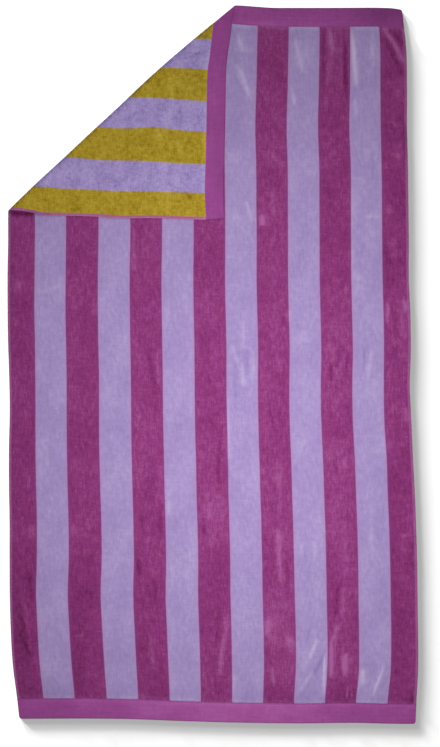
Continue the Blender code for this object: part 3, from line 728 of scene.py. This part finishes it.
def colour(hex_code):
    """Linear colour of an sRGB hex code."""
    parts = [int(hex_code[i : i + 2], 16) / 255 for i in (1, 3, 5)]
    return (*[c / 12.92 if c <= 0.04045 else ((c + 0.055) / 1.055) ** 2.4 for c in parts], 1.0)


def connect(made, sockets):
    """Sets a node's sockets, or links them to other nodes."""
    for name, value in sockets.items():
        if isinstance(name, int):
            socket = made.inputs[name]
        else:
            socket = next(s for s in made.inputs if s.enabled and s.name == name)
        if isinstance(value, bpy.types.Node):
            value = next(s for s in value.outputs if s.enabled)
        if isinstance(value, bpy.types.NodeSocket):
            made.id_data.links.new(value, socket)
        else:
            socket.default_value = value


def node(tree, kind, sockets=None, **settings):
    """Adds a node with its settings and its sockets' values or links; a short kind is a shader's."""
    made = tree.nodes.new(kind if "Node" in kind else "ShaderNode" + kind)
    for name, value in settings.items():
        setattr(made, name, value)
    connect(made, sockets or {})
    return made


def new_finish(name):
    """A new material, the function that adds its nodes, and its shader."""
    material = bpy.data.materials.new(name)
    material.use_nodes = True
    tree = material.node_tree
    return material, partial(node, tree), tree.nodes["Principled BSDF"]


# Each yarn's colour: a darker copy, the colour as it lies, and a lighter copy, which random mottling
# and the painted light and shade of the marks reach. The outer two are reached by marks of FULL_MARK
MAGENTA = ("#6e1758", "#9d3d85", "#bd6aac")
LAVENDER = ("#8d75b6", "#b69ed8", "#decbf5")
MUSTARD = ("#997b0a", "#c1a42a", "#dbbe46")
LAVENDER_LOOPS = ("#937fbd", "#b8a2e1", "#d1bff0")
PLUM = ("#8a3b82", "#b052a5", "#cc72c0")
HEM_FRONT_YARN = ("#80406f", "#a85a96", "#c47fb2")
HEM_BACK_YARN = ("#94557b", "#c372a3", "#d992bd")
FULL_MARK = 6.0

# Dye lots of the magenta, as factors on its colour, and how wide and long each patch of a lot is
COOLER = (0.99, 0.97, 1.03, 1.0)
WARMER = (1.01, 1.03, 0.97, 1.0)
LOT_ACROSS = 9 * MM
LOT_ALONG = 50 * MM

# Where two stripes meet: colours of the line on each side, their share, and the clumps of tufts that
# make the edge wander
MEETING_DARK = "#824b8d"
MEETING_PALE = "#cd8ec9"
MEETING_SHARE = 0.5
CLUMP = 3 * MM

# Tufts stand 0.7 mm apart and loops 2 mm; both are drawn about twice as coarse, so that this view can
# show them
TUFT_SPACING = 1.4 * MM
LOOPS_ACROSS = 4 * MM
LOOPS_ALONG = 3.6 * MM


def stripes_of(add, place, wander, soft):
    """Distance from the nearest stripe edge, above 0 in the pale stripes, and a mask of these.

    A sine in step with the stripes gives the distance, true close to an edge. The edge wanders a
    little, as tufts lean to either side.
    """
    across = add("SeparateXYZ", {0: place})
    clumps = add("TexNoise", {"Vector": place, "Scale": 1 / CLUMP, "Detail": 1.0})
    shift = add("Math", {0: clumps, 1: wander * 2, 2: -wander}, operation="MULTIPLY_ADD")
    shifted = add("Math", {0: across, 1: shift}, operation="ADD")
    turn = math.pi / STRIPE
    angle = add("Math", {0: shifted, 1: turn, 2: -EDGE_STRIPE * turn}, operation="MULTIPLY_ADD")
    wave = add("Math", {0: angle}, operation="SINE")
    edge = add("Math", {0: wave, 1: 1 / turn}, operation="MULTIPLY")
    return edge, add("MapRange", {"Value": edge, "From Min": -soft, "From Max": soft})


def mottle_and_painted_light(add, place, layers, pale):
    """Tone of the nap: painted light and shade of the marks, and noise about zero in layers.

    Each layer has its width and length, and its weights in the dark stripes and in the pale ones. It
    is read from a place of its own in the noise.
    """
    total = add("Attribute", attribute_name="painted_light_and_shade").outputs["Fac"]
    for i, (width, length, on_dark, on_pale) in enumerate(layers):
        grid = {"Vector": place, "Scale": (1 / width, 1 / length, 1), "Location": (7 * i, 3 * i, 0)}
        stretched = add("Mapping", grid)
        grain = add("TexNoise", {"Vector": stretched, "Scale": 1.0, "Detail": 2.0})
        grain = add("Math", {0: grain, 1: 0.5}, operation="SUBTRACT")
        weight = add("MapRange", {"Value": pale, "To Min": on_dark, "To Max": on_pale})
        total = add("Math", {0: grain, 1: weight, 2: total}, operation="MULTIPLY_ADD")
    return total


def yarn(add, shades, tone_and_painted_light):
    """Colour of one yarn from its three shades, by its mottling and its painted light and shade."""
    share = add("Math", {0: tone_and_painted_light, 1: 0.5 / FULL_MARK, 2: 0.5}, operation="MULTIPLY_ADD")
    ramp = add("ValToRGB", {"Fac": share})
    ramp.color_ramp.elements.new(0.5)
    for element, position, shade in zip(ramp.color_ramp.elements, (0.0, 0.5, 1.0), shades):
        element.position = position
        element.color = colour(shade)
    return ramp


def feed(add, shader, base, relief, depth, roughness, specular, sheen):
    """Gives a cloth's shader its colour, its relief as bump, and the way it takes the light."""
    bump = add("Bump", {"Height": relief, "Strength": 0.5, "Distance": depth})
    light = {"Roughness": roughness, "Specular IOR Level": specular}
    light |= {"Sheen Weight": sheen[0], "Sheen Roughness": sheen[1]}
    connect(shader, {"Base Color": base, "Normal": bump, **light})


def velour_finish():
    """Sheared cotton velour: matt nap, faint sheen, fine streaks, patches, painted light and shade."""
    material, add, shader = new_finish("cotton_velour")
    place = add("UVMap", uv_map="cut")
    edge, pale = stripes_of(add, place, wander=0.5 * MM, soft=1 * MM)

    # Warp rows are 0.7 mm apart; the finest streaks are drawn 3 mm wide, the least that this view
    # can show
    layers = (
        (3.2 * MM, 24 * MM, 6.0, 2.8),
        (3.6 * MM, 4.5 * MM, 6.0, 2.4),
        (9 * MM, 17 * MM, 6.5, 4.6),
        (28 * MM, 5 * MM, 3.0, 2.0),
        (60 * MM, 110 * MM, 5.0, 5.0),
    )
    tone_and_painted_light = mottle_and_painted_light(add, place, layers, pale)
    # Broad painted light and shade, shown on the dark stripes only
    broad_painted_light = add("Attribute", attribute_name="broad_painted_light").outputs["Fac"]
    on_dark = add("MapRange", {"Value": pale, "To Min": 1.0, "To Max": 0.0})
    broad_painted_light = add("Math", {0: broad_painted_light, 1: on_dark}, operation="MULTIPLY")
    tone_and_painted_light = add("Math", {0: tone_and_painted_light, 1: broad_painted_light}, operation="ADD")

    # The magenta was dyed in lots: lengths of it are warmer, others cooler
    lengths = add("Mapping", {"Vector": place, "Scale": (1 / LOT_ACROSS, 1 / LOT_ALONG, 1)})
    warmth = add("TexNoise", {"Vector": lengths, "Scale": 1.0, "Detail": 3.0})
    warmth = add("MapRange", {"Value": warmth, "From Min": 0.4, "From Max": 0.6})
    lot = add("Mix", {"Factor": warmth, "A": COOLER, "B": WARMER}, data_type="RGBA")
    magenta = add("VectorMath", {0: yarn(add, MAGENTA, tone_and_painted_light), 1: lot}, operation="MULTIPLY")

    # Where two stripes meet, a cool dark line on the dark stripe's side and a pink line on the pale
    # one's
    stripes = []
    for yarn_colour, line, begins, full_at in (
        (magenta, MEETING_DARK, -7 * MM, -2 * MM),
        (yarn(add, LAVENDER, tone_and_painted_light), MEETING_PALE, 8 * MM, 2 * MM),
    ):
        reach = {"Value": edge, "From Min": begins, "From Max": full_at, "To Max": MEETING_SHARE}
        share = add("MapRange", reach)
        mixed = {"Factor": share, "A": yarn_colour, "B": colour(line)}
        stripes.append(add("Mix", mixed, data_type="RGBA"))
    mixed = add("Mix", {"Factor": pale, "A": stripes[0], "B": stripes[1]}, data_type="RGBA")
    nap = add("TexNoise", {"Vector": place, "Scale": 1 / TUFT_SPACING, "Detail": 2.0})
    relief = add("Math", {0: tone_and_painted_light, 1: 0.25, 2: nap}, operation="MULTIPLY_ADD")
    light = {"roughness": 0.95, "specular": 0.2, "sheen": (0.2, 0.5)}
    feed(add, shader, mixed, relief, depth=0.4 * MM, **light)
    return material


def loop_finish():
    """Uncut terry loops: small round tufts of mustard or lavender yarn, mottled as they lean."""
    material, add, shader = new_finish("cotton_terry_loops")
    place = add("UVMap", uv_map="cut")
    _, pale = stripes_of(add, place, wander=1.2 * MM, soft=1.5 * MM)
    layers = (
        (5 * MM, 5 * MM, 7.0, 6.5),
        (10 * MM, 12 * MM, 13.0, 10.0),
        (3 * MM, 22 * MM, 5.0, 5.0),
        (24 * MM, 3 * MM, 6.0, 5.5),
        (40 * MM, 36 * MM, 9.0, 10.0),
    )
    tone_and_painted_light = mottle_and_painted_light(add, place, layers, pale)

    # Each loop is lightest at its top and falls off into the shade between loops
    grid = add("Mapping", {"Vector": place, "Scale": (1 / LOOPS_ACROSS, 1 / LOOPS_ALONG, 1)})
    loops = add("TexVoronoi", {"Vector": grid, "Scale": 1.0, "Randomness": 0.8})
    between = add("Math", {0: loops, 1: -2.0, 2: 0.9}, operation="MULTIPLY_ADD")
    tone_and_painted_light = add("Math", {0: tone_and_painted_light, 1: between}, operation="ADD")
    mustard, lavender = (yarn(add, shades, tone_and_painted_light) for shades in (MUSTARD, LAVENDER_LOOPS))
    mixed = add("Mix", {"Factor": pale, "A": mustard, "B": lavender}, data_type="RGBA")
    relief = add("Math", {0: loops, 1: -4.0, 2: tone_and_painted_light}, operation="MULTIPLY_ADD")
    light = {"roughness": 0.98, "specular": 0.15, "sheen": (0.15, 0.6)}
    feed(add, shader, mixed, relief, depth=0.25 * MM, **light)
    return material


def flat_weave_finish(name, shades, thread):
    """Flat-woven cotton: smooth close weave, slightly uneven yarn to yarn, painted light and shade."""
    material, add, shader = new_finish(name)
    place = add("UVMap", uv_map="cut")
    layers = (
        (90 * MM, 4 * MM, 3.5, 3.5),
        (5 * MM, 40 * MM, 3.0, 3.0),
        (14 * MM, 9 * MM, 3.5, 3.5),
        (70 * MM, 40 * MM, 5.0, 5.0),
    )
    tone_and_painted_light = mottle_and_painted_light(add, place, layers, 0.0)

    # One turn of the wave is two threads, one over and one under. Threads lie 0.5 mm apart; they are
    # drawn about twice as coarse
    wave = {"Vector": place, "Scale": math.pi / (20 * thread)}
    ribs, picks = (add("TexWave", wave, bands_direction=way) for way in "XY")
    weave = add("Math", {0: ribs, 1: picks}, operation="MULTIPLY")
    woven = yarn(add, shades, tone_and_painted_light)
    light = {"roughness": 0.8, "specular": 0.3, "sheen": (0.1, 0.5)}
    feed(add, shader, woven, weave, depth=0.25 * MM, **light)
    return material


for finished in (
    velour_finish(),
    loop_finish(),
    flat_weave_finish("flat_woven_cotton_band", PLUM, 1.2 * MM),
    flat_weave_finish("flat_woven_cotton_hem_front", HEM_FRONT_YARN, 1.0 * MM),
    flat_weave_finish("flat_woven_cotton_hem_back", HEM_BACK_YARN, 1.0 * MM),
):
    mesh.materials.append(finished)
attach(cloth, "root")
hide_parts("towel")

# ---------------------------------------------------------------------------------------------
# The hem stitching. Cotton-covered sewing thread in one row of lockstitch along each turned edge,
# seen on both faces of the cloth, drawn a little way into it by the pull of the machine.
# ---------------------------------------------------------------------------------------------
# The stitches, and how far from the cloth's edges their rows begin and end
STITCH_LENGTH = 2.9 * MM
STITCH_PITCH = 3.5 * MM
ROW_ENDS = 4 * MM

# The thread: its radius, how high its arch's handle stands, its colour and one turn of its twist. An
# arch has this many steps, and its round this many sides
THREAD_RADIUS = 0.28 * MM
THREAD_RISE = 0.35 * MM
THREAD = "#a25a9b"
THREAD_TWIST = 0.6 * MM
ARCH_STEPS = 3
THREAD_SIDES = 5


def thread_finish():
    """Spun sewing thread: tight and smooth, a shade lighter than the hem it holds."""
    material, add, shader = new_finish("spun_sewing_thread")
    place = add("TexCoord").outputs["Object"]
    twist = add("TexNoise", {"Vector": place, "Scale": 1 / THREAD_TWIST, "Detail": 1.0})
    tone = add("Math", {0: twist, 1: 0.3, 2: 0.85}, operation="MULTIPLY_ADD")
    toned = add("VectorMath", {0: colour(THREAD)[:3], "Scale": tone}, operation="SCALE")
    connect(shader, {"Base Color": toned, "Roughness": 0.6, "Specular IOR Level": 0.4})
    return material


def stitch_tree(name, thread):
    """Lays one arched stitch on each point, along its run and standing out of the cloth."""
    tree = bpy.data.node_groups.new(name, "GeometryNodeTree")
    add = partial(node, tree)
    socket = tree.interface.new_socket
    socket("Row", in_out="INPUT", socket_type="NodeSocketGeometry")
    for label in ("Stitch Length", "Thread Radius", "Thread Rise"):
        socket(label, in_out="INPUT", socket_type="NodeSocketFloat")
    socket("Stitches", in_out="OUTPUT", socket_type="NodeSocketGeometry")
    given = add("NodeGroupInput").outputs
    half, back, dip = (
        add("Math", {0: given[label], 1: factor}, operation="MULTIPLY")
        for label, factor in (("Stitch Length", 0.5), ("Stitch Length", -0.5), ("Thread Radius", -1.0))
    )
    points = {
        "Resolution": ARCH_STEPS,
        "Start": add("CombineXYZ", {"X": back, "Z": dip}),
        "Middle": add("CombineXYZ", {"Z": given["Thread Rise"]}),
        "End": add("CombineXYZ", {"X": half, "Z": dip}),
    }
    arch = add("GeometryNodeCurveQuadraticBezier", points)
    ring = {"Resolution": THREAD_SIDES, "Radius": given["Thread Radius"]}
    profile = add("GeometryNodeCurvePrimitiveCircle", ring)
    shape = {"Curve": arch, "Profile Curve": profile, "Fill Caps": True}
    stitch = add("GeometryNodeCurveToMesh", shape)
    stitch = add("GeometryNodeSetShadeSmooth", {"Geometry": stitch})
    run, out = (
        add("GeometryNodeInputNamedAttribute", {"Name": label}, data_type="FLOAT_VECTOR")
        for label in ("run", "out")
    )
    axes = {"Primary Axis": run, "Secondary Axis": out}
    turn = add("FunctionNodeAxesToRotation", axes, primary_axis="X", secondary_axis="Z")
    spots = add("GeometryNodeMeshToPoints", {"Mesh": given["Row"]})
    sewn = add("GeometryNodeInstanceOnPoints", {"Points": spots, "Instance": stitch, "Rotation": turn})
    solid = add("GeometryNodeRealizeInstances", {"Geometry": sewn})
    coloured = add("GeometryNodeSetMaterial", {"Geometry": solid, "Material": thread})
    add("NodeGroupOutput", {0: coloured})
    return tree


def sewn_rows(name, tree, u, v, way):
    """One piece of stitching: rows of points on the cut that run one way, sewn on both faces."""
    centre, front, thick = faces_of(u, v)
    step_u, step_v = (share * NUDGE for share in way)
    run = middle(u + step_u, v + step_v) - middle(u - step_u, v - step_v)
    run /= np.linalg.norm(run, axis=-1, keepdims=True)
    spots = np.concatenate([centre + front * thick / 2, centre - front * thick / 2]) + home

    # Cloth that lies on the floor has no room for stitches on its underside
    above_floor = spots[:, 2] > THREAD_RADIUS + THREAD_RISE
    mesh = bpy.data.meshes.new(name + "_spots")
    mesh.from_pydata([tuple(p) for p in spots[above_floor]], [], [])
    for label, values in (("run", (run, run)), ("out", (front, -front))):
        attribute = mesh.attributes.new(label, "FLOAT_VECTOR", "POINT")
        attribute.data.foreach_set("vector", np.concatenate(values)[above_floor].ravel())
    piece = bpy.data.objects.new(name, mesh)
    bpy.context.scene.collection.objects.link(piece)
    modifier = piece.modifiers.new("stitches", "NODES")
    modifier.node_group = tree
    sizes = {"Stitch Length": STITCH_LENGTH, "Thread Radius": THREAD_RADIUS, "Thread Rise": THREAD_RISE}
    for item in tree.interface.items_tree:
        if item.name in sizes:
            modifier[item.identifier] = sizes[item.name]
    evaluated = piece.evaluated_get(bpy.context.evaluated_depsgraph_get())
    sewn = bpy.data.meshes.new_from_object(evaluated)
    piece.modifiers.clear()
    piece.data = sewn
    sewn.name = name
    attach(piece, "root")
    return piece


def two_rows(length, first, second):
    """Places of stitches in two rows: those along each row, and those that set the rows apart."""
    row = np.arange(ROW_ENDS, length - ROW_ENDS, STITCH_PITCH)
    return np.tile(row, 2), np.repeat((first, second), len(row))


tree = stitch_tree("lockstitch", thread_finish())
v, u = two_rows(LENGTH, SIDE_STITCH, WIDTH - SIDE_STITCH)
side_stitching = sewn_rows("side_hem_stitching", tree, u, v, (0, 1))
u, v = two_rows(WIDTH, BAND_BOTTOM - BAND_STITCH, LENGTH - BAND_TOP + BAND_STITCH)
band_stitching = sewn_rows("end_band_stitching", tree, u, v, (1, 0))

# ---------------------------------------------------------------------------------------------
# The studio. A white floor, one soft panel straight above the towel and a weaker light from its upper
# right, low lights that only wash the floor, and a camera that looks straight down.
# ---------------------------------------------------------------------------------------------
FLOOR = "#f4f4f4"
FLOOR_HALF = 12
FLOOR_ROUGHNESS = 0.9
BACKDROP = "#ffffff"
WORLD_LIGHT = 0.115

# Lamps that act as suns stand this far off; only their direction counts
FAR = 3

# The panel hangs over this point, a little to the towel's right and towards its foot
PANEL_OVER = (0.1, -0.17)
PANEL_HEIGHT = 1.14
PANEL_SIZE = (0.4, 1.35)

# The photograph's middle, the length that it shows, and the camera's lens and sensor in mm
VIEW_CENTRE = (17.5 * MM, -21.25 * MM)
VIEW_LENGTH = 1867.5 * MM
LENS = 85.0
SENSOR = 36.0

floor_mesh = bpy.data.meshes.new("studio_floor")
floor_corners = [(x * FLOOR_HALF, y * FLOOR_HALF, 0) for x, y in ((-1, -1), (1, -1), (1, 1), (-1, 1))]
floor_mesh.from_pydata(floor_corners, [], [(0, 1, 2, 3)])
floor = bpy.data.objects.new("studio_floor", floor_mesh)
bpy.context.scene.collection.objects.link(floor)
paint, _, shader = new_finish("white_studio_floor")
connect(shader, {"Base Color": colour(FLOOR), "Roughness": FLOOR_ROUGHNESS})
floor_mesh.materials.append(paint)

world = bpy.data.worlds.new("studio")
world.use_nodes = True
backdrop = world.node_tree.nodes["Background"]
connect(backdrop, {"Color": colour(BACKDROP), "Strength": WORLD_LIGHT})
bpy.context.scene.world = world

only_towel = bpy.data.collections.new("lit_as_towel")
for piece in (cloth, side_stitching, band_stitching):
    only_towel.objects.link(piece)
only_floor = bpy.data.collections.new("lit_as_floor")
only_floor.objects.link(floor)


def studio_light(name, kind, place, target, lit, **settings):
    """A lamp that faces a point on the towel and lights one group of things."""
    light = bpy.data.lights.new(name, kind)
    for setting, value in settings.items():
        setattr(light, setting, value)
    lamp = bpy.data.objects.new(name, light)
    lamp.location = place
    lamp.rotation_euler = (Vector(target) - Vector(place)).to_track_quat("-Z", "Y").to_euler()
    lamp.light_linking.receiver_collection = lit
    bpy.context.scene.collection.objects.link(lamp)


def far_light(name, azimuth, elevation, lit, energy, angle):
    """A distant lamp: its azimuth from +X towards +Y, its elevation and its width, in degrees."""
    around, above = math.radians(azimuth), math.radians(elevation)
    level = math.cos(above)
    place = (math.cos(around) * level, math.sin(around) * level, math.sin(above))
    place = tuple(FAR * c for c in place)
    studio_light(name, "SUN", place, (0, 0, 0), lit, energy=energy, angle=math.radians(angle))


studio_light(
    "overhead_panel",
    "AREA",
    (*PANEL_OVER, PANEL_HEIGHT),
    (*PANEL_OVER, 0),
    only_towel,
    shape="RECTANGLE",
    size=PANEL_SIZE[0],
    size_y=PANEL_SIZE[1],
    energy=11.25,
)
far_light("side_panel", 50, 33, only_towel, energy=0.45, angle=12)
studio_light("floor_fill", "SUN", (0, 0, FAR), (0, 0, 0), only_floor, energy=1.1)
far_light("low_floor_light_left", 134, 2.1, only_floor, energy=26, angle=2.7)
far_light("low_floor_light_top", 115, 2.1, only_floor, energy=26, angle=2.7)
far_light("floor_light", 125, 5.5, only_floor, energy=4.8, angle=4)

bpy.context.scene.view_settings.view_transform = "Standard"

lens = bpy.data.cameras.new("camera")
lens.lens = LENS
lens.sensor_width = SENSOR
camera = bpy.data.objects.new("camera", lens)
distance = VIEW_LENGTH / 2 * LENS / (SENSOR / 2)
camera.location = (VIEW_CENTRE[0] + home[0], VIEW_CENTRE[1] + home[1], distance + PILE_THICK)
bpy.context.scene.collection.objects.link(camera)
bpy.context.scene.camera = camera
